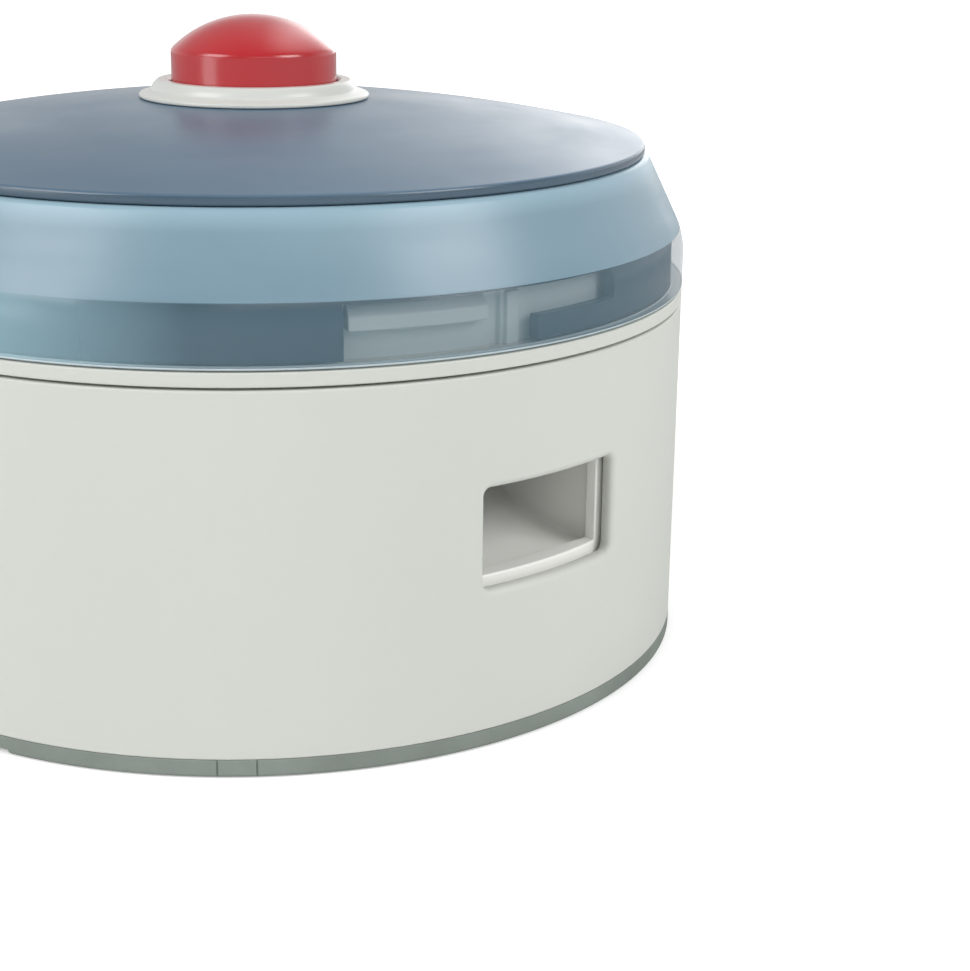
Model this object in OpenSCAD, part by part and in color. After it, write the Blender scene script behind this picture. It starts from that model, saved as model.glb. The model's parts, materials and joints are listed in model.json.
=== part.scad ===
// Push-button treat dispenser.
// A dog presses the button on the lid. The button pushes a rod down the middle of the hopper, and a twisted
// spindle on the rod turns a portion wheel by one pocket, so that treats drop into the outlet chute.
// Millimetres, +Z up. The origin is the centre of the foot ring's underside, and the outlet faces -Y.
// An angle in this file is counted from the outlet, counter-clockwise seen from above.

/* [Body] */
// Outer radius of the body, the rim and the lid's skirt
body_r = 90; // [88:1:94]
// Wall thickness of the outer shell
shell_wall = 3.3; // [2.8:0.1:3.6]
// Height of the anti-slip foot ring
foot_h = 3.5; // [3:0.1:4]
// Height at which the shell ends, just under the rim
shell_top = 72.4; // [72:0.1:73]
// Height of the visible rim between the seam and the lid
rim_h = 2.7; // [2.6:0.1:3.2]
// Width of the shadow gap at the seam
seam_gap = 0.5; // [0.3:0.1:0.8]

/* [Outlet] */
// Width of the outlet window
window_w = 34; // [28:1:35]
// Height of the window's lower edge
window_z = 31; // [30:0.5:32]
// Height of the window
window_h = 20; // [17:0.5:20]
// Corner radius of the window
window_corner = 1.6; // [1:0.2:4]

/* [Lid] */
// Height of the lid's vertical skirt
skirt_h = 9.7; // [9:0.1:10.4]
// Height of the lid's sloping band
bevel_h = 16.8; // [16.4:0.1:17.2]
// Outer radius of the lip at the top of the sloping band
lip_r = 81.8; // [81:0.1:82.4]
// How far the top plate's edge stands above the lip
plate_step = 2; // [1.6:0.1:2.4]
// Rise of the top plate from its edge to the centre
dome_rise = 8.6; // [8.2:0.1:9]

/* [Button] */
// Radius of the push button
button_r = 17; // [16:0.5:20]
// How far the button stands above the middle of the plate
button_proud = 16; // [15:0.5:20]
// Travel of the button
stroke = 10; // [8:0.5:10]

/* [Portion wheel] */
// Number of pockets
pockets = 8; // [6:1:8]
// Outer radius of the wheel
wheel_r = 76.5; // [70:0.5:77]
// Radius of the wheel's drum, inside the pockets
drum_r = 38; // [37:0.5:40]
// Thickness of the walls between pockets
vane_w = 2; // [1.6:0.2:3]

/* [Return spring] */
// Wire diameter
wire_d = 0.9; // [0.7:0.1:1]
// Number of turns
coils = 5; // [4:1:5]

/* [Hidden] */
$fn = 96;

shell_colour = [0.82, 0.83, 0.80];
inner_colour = [0.86, 0.87, 0.85];
lid_colour = [0.45, 0.56, 0.64];
lock_colour = [0.36, 0.48, 0.57];
foot_colour = [0.53, 0.57, 0.55];
button_colour = [0.72, 0.13, 0.14];
steel_colour = [0.70, 0.71, 0.73];
acetal_colour = [0.93, 0.93, 0.90];
silicone_colour = [0.80, 0.82, 0.82];

eps = 0.01;
over = 1;                                    // how far a cutter runs past what it cuts

// Body
shell_in = body_r - shell_wall;
base_z = foot_h;
base_t = 2.5;
rim_z = shell_top + seam_gap;
rim_top = rim_z + rim_h;
ledge_w = 2.2;                               // ledge in the shell that the base plate snaps under
ledge_h = 2;
foot_in = body_r - 10;
foot_chamfer = 0.6;
notch_at = [-75.5, 104.5];                   // finger notches on opposite sides
notch_h = 0.9;
notch_turn = 12;
tab_line_at = [-43.2, -38.6];                // the two fine lines of a moulded tab
tab_line_w = 0.5;
pillar_r = 66;                               // pitch radius of the four base pillars
pillar_at = [60, 120, 240, 300];
head_seat = 35;                              // where the base screws' heads sit inside the pillars

// Screws: head radius, head height, shank radius, length
base_screw = [2.8, 2.4, 1.25, 12];
chute_screw = [2.5, 2, 1.15, 4.2];
floor_screw = [2.6, 2, 1.25, 11];
cap_screw = [2.2, 1.7, 1.1, 7];

// Floor under the portion wheel
floor_z = 53;
floor_t = 2.5;
floor_top = floor_z + floor_t;
floor_r = shell_in - 0.9;
boss_z = 38;                                 // where the pillars meet the floor's bosses
hang_r = shell_in - 4.7;                     // pitch radius of the three hopper pillars
hang_at = [40, 160, 280];
drop_w = 32;
drop_y0 = 42;
drop_y1 = 72;
seat_r = 12.5;                               // boss that carries the bush
seat_h = 3.5;

// Portion wheel and its drive
wheel_z = floor_top + 0.7;
wheel_top = 71.4;
drum_wall = 2;
pitch = 360 / pockets;
turn_per_mm = pitch / stroke;
hub_r = 8;
running = 0.05;
driver_z = 60.1;
driver_t = 2.5;
nut_z = 67;
nut_t = 4;
nut_r = 6.5;
bush_r = 10;
tooth_tip = drum_r - 6.5;
tooth_root = drum_r - 4.5;
teeth = 24;
strip_w = 8;
strip_t = 2;
strip_z = 61;
strip_top = 84;

// Hopper
hopper_z = 72.4;
hopper_t = 2;
collar_out = body_r - 6.3;
collar_in = collar_out - 2.5;
collar_top = rim_top + 12;
spigot_h = 8;                                // wall that centres the hopper in the shell
shield = 62;                                 // half angle of the shield over the drop hole
column_out = 9.5;
column_in = 7;
column_top = 96.5;
guide_t = 2.6;
rod_r = 4.1;
rod_hole = 4.3;
ear_r = 8.4;
ear_w = 2.8;
spring_z = hopper_z + guide_t + 0.8;
rod_flange_z = 92;
crown_z = 103;

// Bayonet: a wide entry on the left and a half-height arm on the right, as seen through the skirt
slot_at = [0, 120, 240];
entry_from = -27.8;
entry_to = -2.2;
arm_to = 12.4;
slot_top = 86.4;
arm_z = 81;
lug_from = -27.2;
lug_to = -9.2;
lug_z = 81.4;
lug_top = 85.9;
lug_lead = 2;                                // chamfer that leads the lid over the lugs
lug_r = body_r - 3.4;
index_from = -7.8;                           // groove in the collar beside each lug
index_to = -6.2;
guide_from = -5.6;                           // rib beside the groove
guide_to = -3.6;
guide_proud = 0.9;
bayonet_in = body_r - 5;
skirt_in = body_r - 2.5;

// Lid
lid_z = rim_top + 0.3;
corner_z = lid_z + skirt_h;
lip_z = corner_z + bevel_h;
plate_r = 78.6;                              // wall of the plate that the lock ring turns on
flange_r = 81.2;                             // edge of the plate, which covers the lock ring's lip
flange_z = lip_z + 0.6;
plate_edge = lip_z + plate_step;
apex_z = plate_edge + dome_rise;
plate_t = 2.4;
dome_r = (flange_r * flange_r + dome_rise * dome_rise) / (2 * dome_rise);

// Button
bezel_in = button_r + 0.4;
bore_in = button_r + 1.9;
bezel_out = button_r + 3.9;
plate_hole = bezel_out + 0.2;
bezel_top = apex_z + 3;
bezel_lip = 3.4;
cap_top = apex_z + button_proud;
cap_dome = 7;
cap_wall = 2.4;
cup_z = 98;
cup_floor = 2;
cap_bottom = cup_z + cup_floor + 0.5 + stroke;
bezel_z = 104;
stem_r = 5;
stem_flange = cap_top - 12.5;
stem_flange_r = 12.2;
stem_screw_r = 7.8;
stem_screw_at = [0, 120, 240];

// ---- helpers ----

function at(angle, r) = [r * sin(angle), -r * cos(angle)];

// Height of the top plate's outer surface at radius r
function dome_z(r) = apex_z - dome_r + sqrt(dome_r * dome_r - r * r);

// Points on a quadratic curve from a to c that bends at b
function bend(a, b, c, n) = [for (i = [0:n]) let (t = i / n)
    (1 - t) * (1 - t) * a + 2 * t * (1 - t) * b + t * t * c];

// A flat sector between two angles
module sector(from, to, r) {
    steps = max(1, ceil((to - from) / 30));
    reach = r / cos((to - from) / steps / 2);
    polygon(concat([[0, 0]], [for (i = [0:steps]) at(from + (to - from) * i / steps, reach)]));
}

module ring(r_out, r_in, z, h) {
    translate([0, 0, z])
        difference() {
            cylinder(r = r_out, h = h);
            translate([0, 0, -over]) cylinder(r = r_in, h = h + 2 * over);
        }
}

// A piece of a ring between two angles
module arc_block(from, to, r_out, r_in, z, h) {
    intersection() {
        ring(r_out, r_in, z, h);
        translate([0, 0, z - over])
            linear_extrude(height = h + 2 * over) sector(from, to, r_out + over);
    }
}

// Moves its children to an angle and radius, at a height
module place(angle, r, z) {
    rotate([0, 0, angle]) translate([0, -r, z]) children();
}

module tube(r_out, r_in, h) {
    difference() {
        cylinder(r = r_out, h = h);
        translate([0, 0, -over]) cylinder(r = r_in, h = h + 2 * over);
    }
}

// A piece of a turned outline between two angles
module arc_profile(from, to, points) {
    intersection() {
        rotate_extrude() polygon(points);
        translate([0, 0, -over])
            linear_extrude(height = 2 * body_r) sector(from, to, body_r + over);
    }
}

// A pan-head screw that points up, with its head's top face at z = 0 and a cross recess from below
module screw(size) {
    head_r = size[0];
    head_h = size[1];
    shank_r = size[2];
    length = size[3];
    recess_w = 0.8;
    recess_d = head_h * 0.5;
    difference() {
        union() {
            translate([0, 0, -head_h]) cylinder(r = head_r, h = head_h, $fn = 48);
            cylinder(r = shank_r, h = length - shank_r, $fn = 32);
            translate([0, 0, length - shank_r])
                cylinder(r1 = shank_r, r2 = shank_r * 0.3, h = shank_r, $fn = 32);
        }
        for (turn = [0, 90])
            rotate([0, 0, turn])
                translate([-head_r * 0.6, -recess_w / 2, -head_h - over])
                    cube([head_r * 1.2, recess_w, recess_d + over]);
    }
}

// ---- body ----

module window_cut() {
    w = window_w - 2 * window_corner;
    h = window_h - 2 * window_corner;
    translate([0, -body_r + 20, window_z + window_h / 2])
        rotate([90, 0, 0])
            linear_extrude(height = 30)
                union() {
                    square([window_w, h], center = true);
                    square([w, window_h], center = true);
                    for (x = [-w / 2, w / 2], y = [-h / 2, h / 2])
                        translate([x, y]) circle(r = window_corner);
                }
}

module outer_shell() {
    color(shell_colour)
        difference() {
            union() {
                ring(body_r, shell_in, base_z, shell_top - base_z);
                ring(shell_in + eps, shell_in - ledge_w, base_z + base_t + 0.1, ledge_h);
            }
            window_cut();
        }
}

module base_plate() {
    hub_ring_r = 28;
    rib_w = 1.8;
    rib_h = 3;
    color(shell_colour)
        difference() {
            union() {
                translate([0, 0, base_z]) cylinder(r = shell_in - 0.3, h = base_t);
                ring(hub_ring_r, hub_ring_r - 2, base_z + base_t - eps, rib_h + 1);
                for (a = pillar_at)
                    place(a, pillar_r, base_z) cylinder(r = 4.6, h = boss_z - base_z);
                for (a = [0:60:300])
                    rotate([0, 0, a])
                        translate([-rib_w / 2, -shell_in + 5, base_z + base_t - eps])
                            cube([rib_w, shell_in - hub_ring_r - 6, rib_h]);
            }
            for (a = pillar_at) {
                place(a, pillar_r, base_z - over)
                    cylinder(r = base_screw[0] + 0.4, h = head_seat - base_z + over);
                place(a, pillar_r, base_z) cylinder(r = base_screw[2] + 0.35, h = boss_z);
            }
        }
}

module foot_ring() {
    color(foot_colour)
        difference() {
            rotate_extrude()
                polygon([
                    [foot_in, 0], [body_r - foot_chamfer, 0], [body_r, foot_chamfer], [body_r, foot_h],
                    [foot_in, foot_h]
                ]);
            for (a = notch_at)
                arc_block(a - notch_turn / 2, a + notch_turn / 2, body_r + over, foot_in - over,
                    -over, notch_h + over);
            for (a = tab_line_at)
                place(a, body_r, -over)
                    translate([-tab_line_w / 2, -over, 0])
                        cube([tab_line_w, over + 0.4, foot_h + 2 * over]);
        }
}

module base_screws() {
    color(steel_colour)
        for (a = pillar_at)
            place(a, pillar_r, head_seat) screw(base_screw);
}

// ---- outlet chute ----

chute_in = window_w / 2 + 1.2;
chute_wall = 2;
chute_out = chute_in + chute_wall;
ear_x = chute_out + 4;                       // the two ears that hang the chute from the floor
ear_y = -60;
chute_mouth = shell_in - 0.4;
frame_back = 82;
frame_w = window_w - 1.6;
run_len = 50;
run_rise = 20.3;
frame_sill = 1.9;                            // the frame's lower bar, above the window's edge
frame_head = 0.8;
run_steps = 12;

// Height of the chute's floor at a distance from its frame
function run_z(d) = window_z + 0.3 + run_rise * pow(d / run_len, 2);

module chute_side(drop, top) {
    polygon(concat(
        [for (i = [0:run_steps]) let (d = run_len * i / run_steps) [d - frame_back, run_z(d) - drop]],
        [[run_len - frame_back, top], [-frame_back, top]]
    ));
}

// Draws a side outline (y, z) and gives it a width along X
module along_x(width) {
    translate([-width / 2, 0, 0])
        rotate([90, 0, 90]) linear_extrude(height = width) children();
}

module outlet_chute() {
    tab_r = 4.2;
    tab_t = 2;
    color(inner_colour)
        difference() {
            union() {
                intersection() {
                    translate([0, 0, 20]) cylinder(r = chute_mouth, h = 40);
                    union() {
                        along_x(2 * chute_out) chute_side(chute_wall, floor_z);
                        translate([-chute_out, -body_r, run_z(0) - chute_wall])
                            cube([2 * chute_out, body_r - frame_back + eps,
                                floor_z - run_z(0) + chute_wall]);
                    }
                }
                for (side = [-1, 1]) {
                    translate([side * ear_x, ear_y, floor_z - tab_t]) cylinder(r = tab_r, h = tab_t);
                    translate([side * (chute_out + 2) - 2.2, ear_y - 4, floor_z - tab_t])
                        cube([4.4, 8, tab_t]);
                }
                // back wall under the inner edge of the drop hole
                translate([-chute_out, run_len - frame_back - eps, run_z(run_len) - chute_wall])
                    cube([2 * chute_out, chute_wall, floor_z - run_z(run_len) + chute_wall]);
            }
            along_x(2 * chute_in) chute_side(0, floor_z + over);
            translate([-frame_w / 2, -body_r, window_z + frame_sill])
                cube([frame_w, body_r - frame_back + over, window_h - frame_sill - frame_head]);
            for (side = [-1, 1])
                translate([side * ear_x, ear_y, floor_z - tab_t - over])
                    cylinder(r = chute_screw[2] + 0.25, h = tab_t + 2 * over);
        }
}

module chute_screws() {
    color(steel_colour)
        for (side = [-1, 1])
            translate([side * ear_x, ear_y, floor_z - 2]) screw(chute_screw);
}

// ---- floor under the wheel ----

module wheel_floor() {
    color(inner_colour)
        difference() {
            union() {
                translate([0, 0, floor_z]) cylinder(r = floor_r, h = floor_t);
                ring(drum_r - drum_wall - 0.1, drum_r - drum_wall - 2.1, floor_top - eps, 3);
                translate([0, 0, floor_top - eps]) cylinder(r = seat_r, h = seat_h + eps);
                for (a = pillar_at)
                    place(a, pillar_r, boss_z) cylinder(r = 4.2, h = floor_z - boss_z + eps);
            }
            translate([0, 0, floor_z - over]) cylinder(r = bush_r, h = 10);
            translate([-drop_w / 2, -drop_y1, floor_z - over])
                cube([drop_w, drop_y1 - drop_y0, floor_t + 2 * over]);
            for (a = pillar_at)
                place(a, pillar_r, boss_z - over) cylinder(r = base_screw[2] + 0.05, h = 12 + over);
            for (a = hang_at)
                place(a, hang_r, floor_z - over)
                    cylinder(r = floor_screw[2] + 0.25, h = floor_t + 2 * over);
            for (side = [-1, 1])
                translate([side * ear_x, ear_y, floor_z - over])
                    cylinder(r = chute_screw[2] + 0.05, h = floor_t + 2 * over);
        }
}

module floor_screws() {
    color(steel_colour)
        for (a = hang_at)
            place(a, hang_r, floor_z) screw(floor_screw);
}

module drive_bush() {
    color(acetal_colour)
        rotate_extrude()
            polygon([
                [hub_r + running, floor_z], [bush_r, floor_z], [bush_r, floor_top + seat_h],
                [seat_r, floor_top + seat_h], [seat_r, floor_top + seat_h + 1],
                [hub_r + running, floor_top + seat_h + 1]
            ]);
}

module friction_ring() {
    color([0.45, 0.44, 0.42])
        ring(drum_r, drum_r - drum_wall, floor_top, wheel_z - floor_top - 0.1);
}

// ---- hopper ----

module hopper() {
    feed_in = 26;
    spoke_w = 6;
    color(shell_colour)
        difference() {
            union() {
                ring(body_r, collar_in, rim_z, rim_h);
                ring(body_r - 1.6, collar_in, shell_top, seam_gap + eps);
                ring(shell_in - 0.3, shell_in - 2.5, shell_top - spigot_h, spigot_h + eps);
                translate([0, 0, hopper_z]) cylinder(r = shell_in - 1, h = hopper_t);
                ring(collar_out, collar_in, rim_top - over, collar_top - rim_top + over);
                translate([0, 0, hopper_z]) cylinder(r = column_out, h = column_top - hopper_z);
                for (a = hang_at)
                    place(a, hang_r, floor_top) cylinder(r = 3.5, h = hopper_z - floor_top + eps);
                for (a = slot_at) {
                    arc_profile(a + lug_from, a + lug_to, [
                        [collar_in + over, lug_z], [lug_r, lug_z], [lug_r, lug_top - lug_lead],
                        [lug_r - lug_lead, lug_top], [collar_in + over, lug_top]
                    ]);
                    arc_block(a + guide_from, a + guide_to, collar_out + guide_proud, collar_in + over,
                        rim_top, collar_top - rim_top - 2);
                }
            }
            // feed opening round the back, with one spoke across it
            difference() {
                translate([0, 0, hopper_z - over])
                    linear_extrude(height = hopper_t + 2 * over)
                        difference() {
                            circle(r = wheel_r);
                            circle(r = feed_in);
                            sector(-shield, shield, body_r);
                            translate([-spoke_w / 2, 0]) square([spoke_w, body_r]);
                        }
                translate([0, 0, hopper_z - 2 * over])
                    cylinder(r = column_out, h = hopper_t + 4 * over);
            }
            // the rod's guide hole, the spring's bore and the grooves for the rod's ears
            translate([0, 0, hopper_z - over]) cylinder(r = rod_hole, h = 10);
            translate([0, 0, hopper_z + guide_t]) cylinder(r = column_in, h = 40);
            translate([-ear_r - 0.3, -ear_w / 2 - 0.2, rod_flange_z - stroke - 1])
                cube([2 * ear_r + 0.6, ear_w + 0.4, 40]);
            for (a = hang_at)
                place(a, hang_r, floor_top - over) cylinder(r = floor_screw[2] + 0.05, h = 12);
            // index groove in the collar, the dark upright line beside each bayonet slot
            for (a = slot_at)
                arc_block(a + index_from, a + index_to, collar_out + over, collar_out - 1, rim_top, 20);
        }
}

module feed_wiper() {
    color(silicone_colour)
        rotate([0, 0, -shield])
            translate([-2.5, -wheel_r + 0.5, wheel_top + 0.3]) cube([2.5, wheel_r - 40, 6]);
}

module spring_washer() {
    color(steel_colour)
        ring(column_in - 0.1, rod_hole + 0.1, hopper_z + guide_t, 0.8);
}

// ---- push rod and spindle ----

spring_top = rod_flange_z;
spring_mean = 5.7;
spring_steps = 8;
spring_h = spring_top - spring_z - wire_d;

// Centre of the wire at turn t, with closed flat ends
function coil_at(t) = [
    spring_mean * cos(360 * t), spring_mean * sin(360 * t),
    spring_z + wire_d / 2 + spring_h * t / coils
];

module return_spring() {
    sides = 6;
    rings = coils * spring_steps;
    points = [for (i = [0:rings]) let (c = coil_at(i / spring_steps), a = 360 * i / spring_steps)
        for (k = [0:sides - 1]) let (b = 360 * k / sides, r = wire_d / 2 * cos(b))
            [c[0] + r * cos(a), c[1] + r * sin(a), c[2] + wire_d / 2 * sin(b)]];
    wall = [for (i = [0:rings - 1], k = [0:sides - 1])
        let (a = i * sides + k, b = i * sides + (k + 1) % sides)
        each [[a, b, a + sides], [b, b + sides, a + sides]]];
    ends = [for (k = [1:sides - 2]) each [
        [0, k + 1, k],
        [rings * sides, rings * sides + k, rings * sides + k + 1]
    ]];
    color(steel_colour) polyhedron(points, concat(wall, ends), convexity = 10);
}

tang_w = 5;                                  // flat tang of the strip, pinned in the rod
tang_h = 7;
pin_r = 0.8;
flange_t = 3;

// The pin, or with more length the hole that it needs
module cross_pin(length) {
    translate([0, length / 2, strip_top + tang_h / 2])
        rotate([90, 0, 0]) cylinder(r = pin_r, h = length, $fn = 32);
}

module push_rod() {
    color(acetal_colour)
        difference() {
            union() {
                translate([0, 0, strip_top]) cylinder(r = rod_r, h = crown_z - strip_top - 1);
                translate([0, 0, crown_z - 1 - eps]) cylinder(r1 = rod_r, r2 = rod_r - 1, h = 1 + eps);
                translate([0, 0, rod_flange_z]) cylinder(r = column_in - 0.4, h = flange_t);
                intersection() {
                    translate([-ear_r, -ear_w / 2, rod_flange_z]) cube([2 * ear_r, ear_w, flange_t]);
                    translate([0, 0, rod_flange_z]) cylinder(r = ear_r, h = flange_t);
                }
            }
            translate([-tang_w / 2, -strip_t / 2, strip_top - over])
                cube([tang_w, strip_t, tang_h + over]);
            cross_pin(10);
        }
}

// A strip twisted so that its angle is nought at the rod's foot
module twisted_strip(w, t, z, h) {
    n = ceil(h / 1.5);
    corners = [[-w / 2, -t / 2], [w / 2, -t / 2], [w / 2, t / 2], [-w / 2, t / 2]];
    points = [for (i = [0:n]) let (up = z + h * i / n, a = turn_per_mm * (up - strip_top))
        for (c = corners) [c[0] * cos(a) - c[1] * sin(a), c[0] * sin(a) + c[1] * cos(a), up]];
    sides = [for (i = [0:n - 1], k = [0:3]) let (a = 4 * i + k, b = 4 * i + (k + 1) % 4)
        each [[a, a + 4, b], [b, a + 4, b + 4]]];
    ends = [[0, 1, 2], [0, 2, 3], [4 * n, 4 * n + 2, 4 * n + 1], [4 * n, 4 * n + 3, 4 * n + 2]];
    polyhedron(points, concat(sides, ends), convexity = 4);
}

module twist_spindle() {
    color(steel_colour)
        difference() {
            union() {
                twisted_strip(strip_w, strip_t, strip_z, strip_top - strip_z);
                translate([-tang_w / 2, -strip_t / 2, strip_top - eps])
                    cube([tang_w, strip_t, tang_h + eps]);
            }
            cross_pin(10);
        }
}

module spindle_pin() {
    color(steel_colour) cross_pin(2 * rod_r - 0.6);
}

// ---- drive ----

module pawl_arm() {
    reach = 26.5;
    intersection() {
        difference() {
            circle(r = reach);
            circle(r = reach - 2);
        }
        sector(0, 73, 40);
    }
    rotate([0, 0, 5]) translate([-2.5, -reach + 0.5]) square([5, 8]);
    rotate([0, 0, 70.8]) polygon([
        [-3, -reach + 1], [2, -reach + 1], [2.6, -(tooth_root - 1.1)], [1.4, -(tooth_root - 0.8)]
    ]);
}

module ratchet_driver() {
    color(acetal_colour)
        difference() {
            union() {
                translate([0, 0, floor_z + 0.2]) cylinder(r = hub_r, h = nut_z + nut_t - floor_z - 0.2);
                translate([0, 0, driver_z])
                    linear_extrude(height = driver_t)
                        union() {
                            circle(r = 22);
                            for (a = [0, 120, 240]) rotate([0, 0, a]) pawl_arm();
                        }
            }
            translate([0, 0, floor_z - over]) cylinder(r = 5, h = 20);
            translate([0, 0, nut_z]) cylinder(r = nut_r, h = nut_t + over);
        }
}

module spiral_nut() {
    play = 0.5;
    color([0.80, 0.66, 0.38])
        difference() {
            translate([0, 0, nut_z]) cylinder(r = nut_r, h = nut_t);
            twisted_strip(strip_w + play, strip_t + play, nut_z - over, nut_t + 2 * over);
        }
}

module ratchet_ring() {
    step = 360 / teeth;
    color(acetal_colour)
        translate([0, 0, driver_z - 0.6])
            linear_extrude(height = 5.5)
                difference() {
                    circle(r = drum_r - drum_wall);
                    polygon([for (i = [0:teeth - 1]) each [
                        at(i * step, tooth_root), at(i * step + 1.5, tooth_tip)
                    ]]);
                }
}

module portion_wheel() {
    h = wheel_top - wheel_z;
    color([0.62, 0.70, 0.75])
        difference() {
            union() {
                ring(wheel_r, wheel_r - 2, wheel_z, h);
                ring(drum_r, drum_r - drum_wall, wheel_z, h);
                ring(drum_r, hub_r + running, wheel_top - 2, 2);
                for (i = [0:pockets - 1])
                    rotate([0, 0, pitch * (i + 0.5)])
                        translate([-vane_w / 2, -wheel_r + 1, wheel_z])
                            cube([vane_w, wheel_r - drum_r, h]);
            }
        }
}

// ---- lid ----

seal_z = 83;                                 // groove for the seal in the lid's inner wall
seal_top = 85.4;

module lid_plate() {
    steps = 12;
    rib_top = lip_z - 3.3;
    rib_z = lip_z - 5.1;
    top = [for (i = [0:steps]) let (r = plate_hole + (flange_r - 0.8 - plate_hole) * i / steps)
        [r, dome_z(r)]];
    under_r = plate_r - 2.1;
    under = [for (i = [steps:-1:0]) let (r = plate_hole + (under_r - plate_hole) * i / steps)
        [r, dome_z(r) - plate_t]];
    color(lid_colour)
        rotate_extrude()
            polygon(concat(
                top,
                [
                    [flange_r, dome_z(flange_r) - 0.6], [flange_r, flange_z], [plate_r, flange_z],
                    [plate_r, rib_top], [plate_r + 1.4, rib_top], [plate_r + 1.4, rib_z], [plate_r, rib_z],
                    [plate_r, seal_top],
                    [plate_r - 1, seal_top], [plate_r - 1, seal_z], [plate_r, seal_z],
                    [plate_r, seal_z - 2], [under_r, seal_z - 2]
                ],
                under
            ));
}

module lid_seal() {
    color(silicone_colour)
        rotate_extrude()
            polygon([
                [plate_r - 1, seal_z], [plate_r, seal_z], [collar_in - 0.3, seal_z + 0.6],
                [collar_in - 0.3, seal_z + 1.4], [plate_r, seal_top], [plate_r - 1, seal_top]
            ]);
}

// Outline of the lock ring: skirt, rounded corner, sloping band and lip
module lock_ring_outline() {
    corner = [body_r, corner_z];
    slope = [lip_r - body_r, bevel_h] / norm([lip_r - body_r, bevel_h]);
    lip = [lip_r, lip_z];
    round = 4;
    lip_round = 1.4;
    polygon(concat(
        [[body_r, lid_z]],
        bend(corner - [0, round], corner, corner + round * slope, 5),
        bend(lip - lip_round * slope, lip, lip - [lip_round, 0], 4),
        [
            [plate_r + 0.6, lip_z], [plate_r + 0.6, lip_z - 3],
            [plate_r + 1.75, lip_z - 3], [plate_r + 1.75, lip_z - 5.2], [plate_r + 2.95, lip_z - 5.2],
            [plate_r + 2.95, lip_z - 7.4], [plate_r + 3.4, lip_z - 7.4], [skirt_in, corner_z - 0.5],
            [skirt_in, lid_z]
        ]
    ));
}

module lock_ring() {
    color(lid_colour) rotate_extrude() lock_ring_outline();
}

module bayonet_ring() {
    z = lid_z + 0.5;
    color(lock_colour)
        difference() {
            rotate_extrude()
                polygon([
                    [bayonet_in, z], [skirt_in, z], [skirt_in, corner_z - 0.6],
                    [bayonet_in + 0.7, corner_z + 2.4], [bayonet_in, corner_z + 2.4]
                ]);
            for (a = slot_at) {
                arc_block(a + entry_from, a + entry_to, body_r, bayonet_in - over, z - over,
                    slot_top - z + over);
                arc_block(a + entry_to - 1, a + arm_to, body_r, bayonet_in - over, arm_z,
                    slot_top - arm_z);
            }
        }
}

module retaining_ring() {
    color(inner_colour)
        ring(plate_r + 2.9, plate_r + 0.3, lip_z - 7.3, 2);
}

// ---- button ----

module button_bezel() {
    flange = bezel_out + 2.8;
    color(inner_colour)
        rotate_extrude()
            polygon([
                [bezel_in, bezel_top - bezel_lip], [bezel_in, bezel_top - 0.5], [bezel_in + 0.5, bezel_top],
                [bezel_out - 1, bezel_top], [bezel_out, bezel_top - 1],
                [bezel_out + 0.3, dome_z(bezel_out) + 1.6],
                [flange, dome_z(flange) + 0.9], [flange, dome_z(flange) + 0.1],
                [bezel_out, dome_z(bezel_out) + 0.1], [bezel_out, bezel_z], [bore_in, bezel_z],
                [bore_in, bezel_top - bezel_lip]
            ]);
}

module button_cup() {
    color(inner_colour)
        difference() {
            translate([0, 0, cup_z]) cylinder(r = bezel_out, h = bezel_z - cup_z);
            translate([0, 0, cup_z + cup_floor]) cylinder(r = bore_in, h = 20);
            translate([0, 0, cup_z - over]) cylinder(r = 6.2, h = 10);
        }
}

module bezel_nut() {
    nut_out = bezel_out + 5.6;
    top = dome_z(nut_out) - plate_t - 0.15;
    color(inner_colour)
        difference() {
            ring(nut_out, bezel_out + running, top - 3, 3);
            for (a = [0:45:315])
                place(a, nut_out, top - 4) cylinder(r = 1.6, h = 5);
        }
}

module button_cap() {
    sphere_r = (button_r * button_r + cap_dome * cap_dome) / (2 * cap_dome);
    color(button_colour)
        difference() {
            union() {
                intersection() {
                    translate([0, 0, cap_bottom])
                        cylinder(r = button_r, h = cap_top - cap_bottom + over);
                    translate([0, 0, cap_top - sphere_r]) sphere(r = sphere_r, $fn = 160);
                }
                translate([0, 0, cap_bottom]) cylinder(r = button_r + 1.4, h = 1.7);
            }
            intersection() {
                translate([0, 0, cap_bottom - over])
                    cylinder(r = button_r - cap_wall, h = cap_top - cap_bottom);
                translate([0, 0, cap_top - sphere_r]) sphere(r = sphere_r - cap_wall, $fn = 160);
                difference() {
                    translate([0, 0, cap_bottom - 2 * over]) cylinder(r = button_r, h = 40);
                    for (a = stem_screw_at)
                        place(a, stem_screw_r, stem_flange + 2) cylinder(r = 2.4, h = 20);
                }
            }
            for (a = stem_screw_at)
                place(a, stem_screw_r, stem_flange + 2 - over)
                    cylinder(r = cap_screw[2] + 0.05, h = 6.2 + over);
        }
}

module button_stem() {
    color(inner_colour)
        difference() {
            union() {
                translate([0, 0, crown_z + 0.3])
                    cylinder(r = stem_r, h = stem_flange + 2 - crown_z - 0.3);
                translate([0, 0, stem_flange]) cylinder(r = stem_flange_r, h = 2);
            }
            for (a = stem_screw_at)
                place(a, stem_screw_r, stem_flange - over) cylinder(r = cap_screw[2] + 0.2, h = 4);
        }
}

module button_screws() {
    color(steel_colour)
        for (a = stem_screw_at)
            place(a, stem_screw_r, stem_flange) screw(cap_screw);
}

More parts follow.
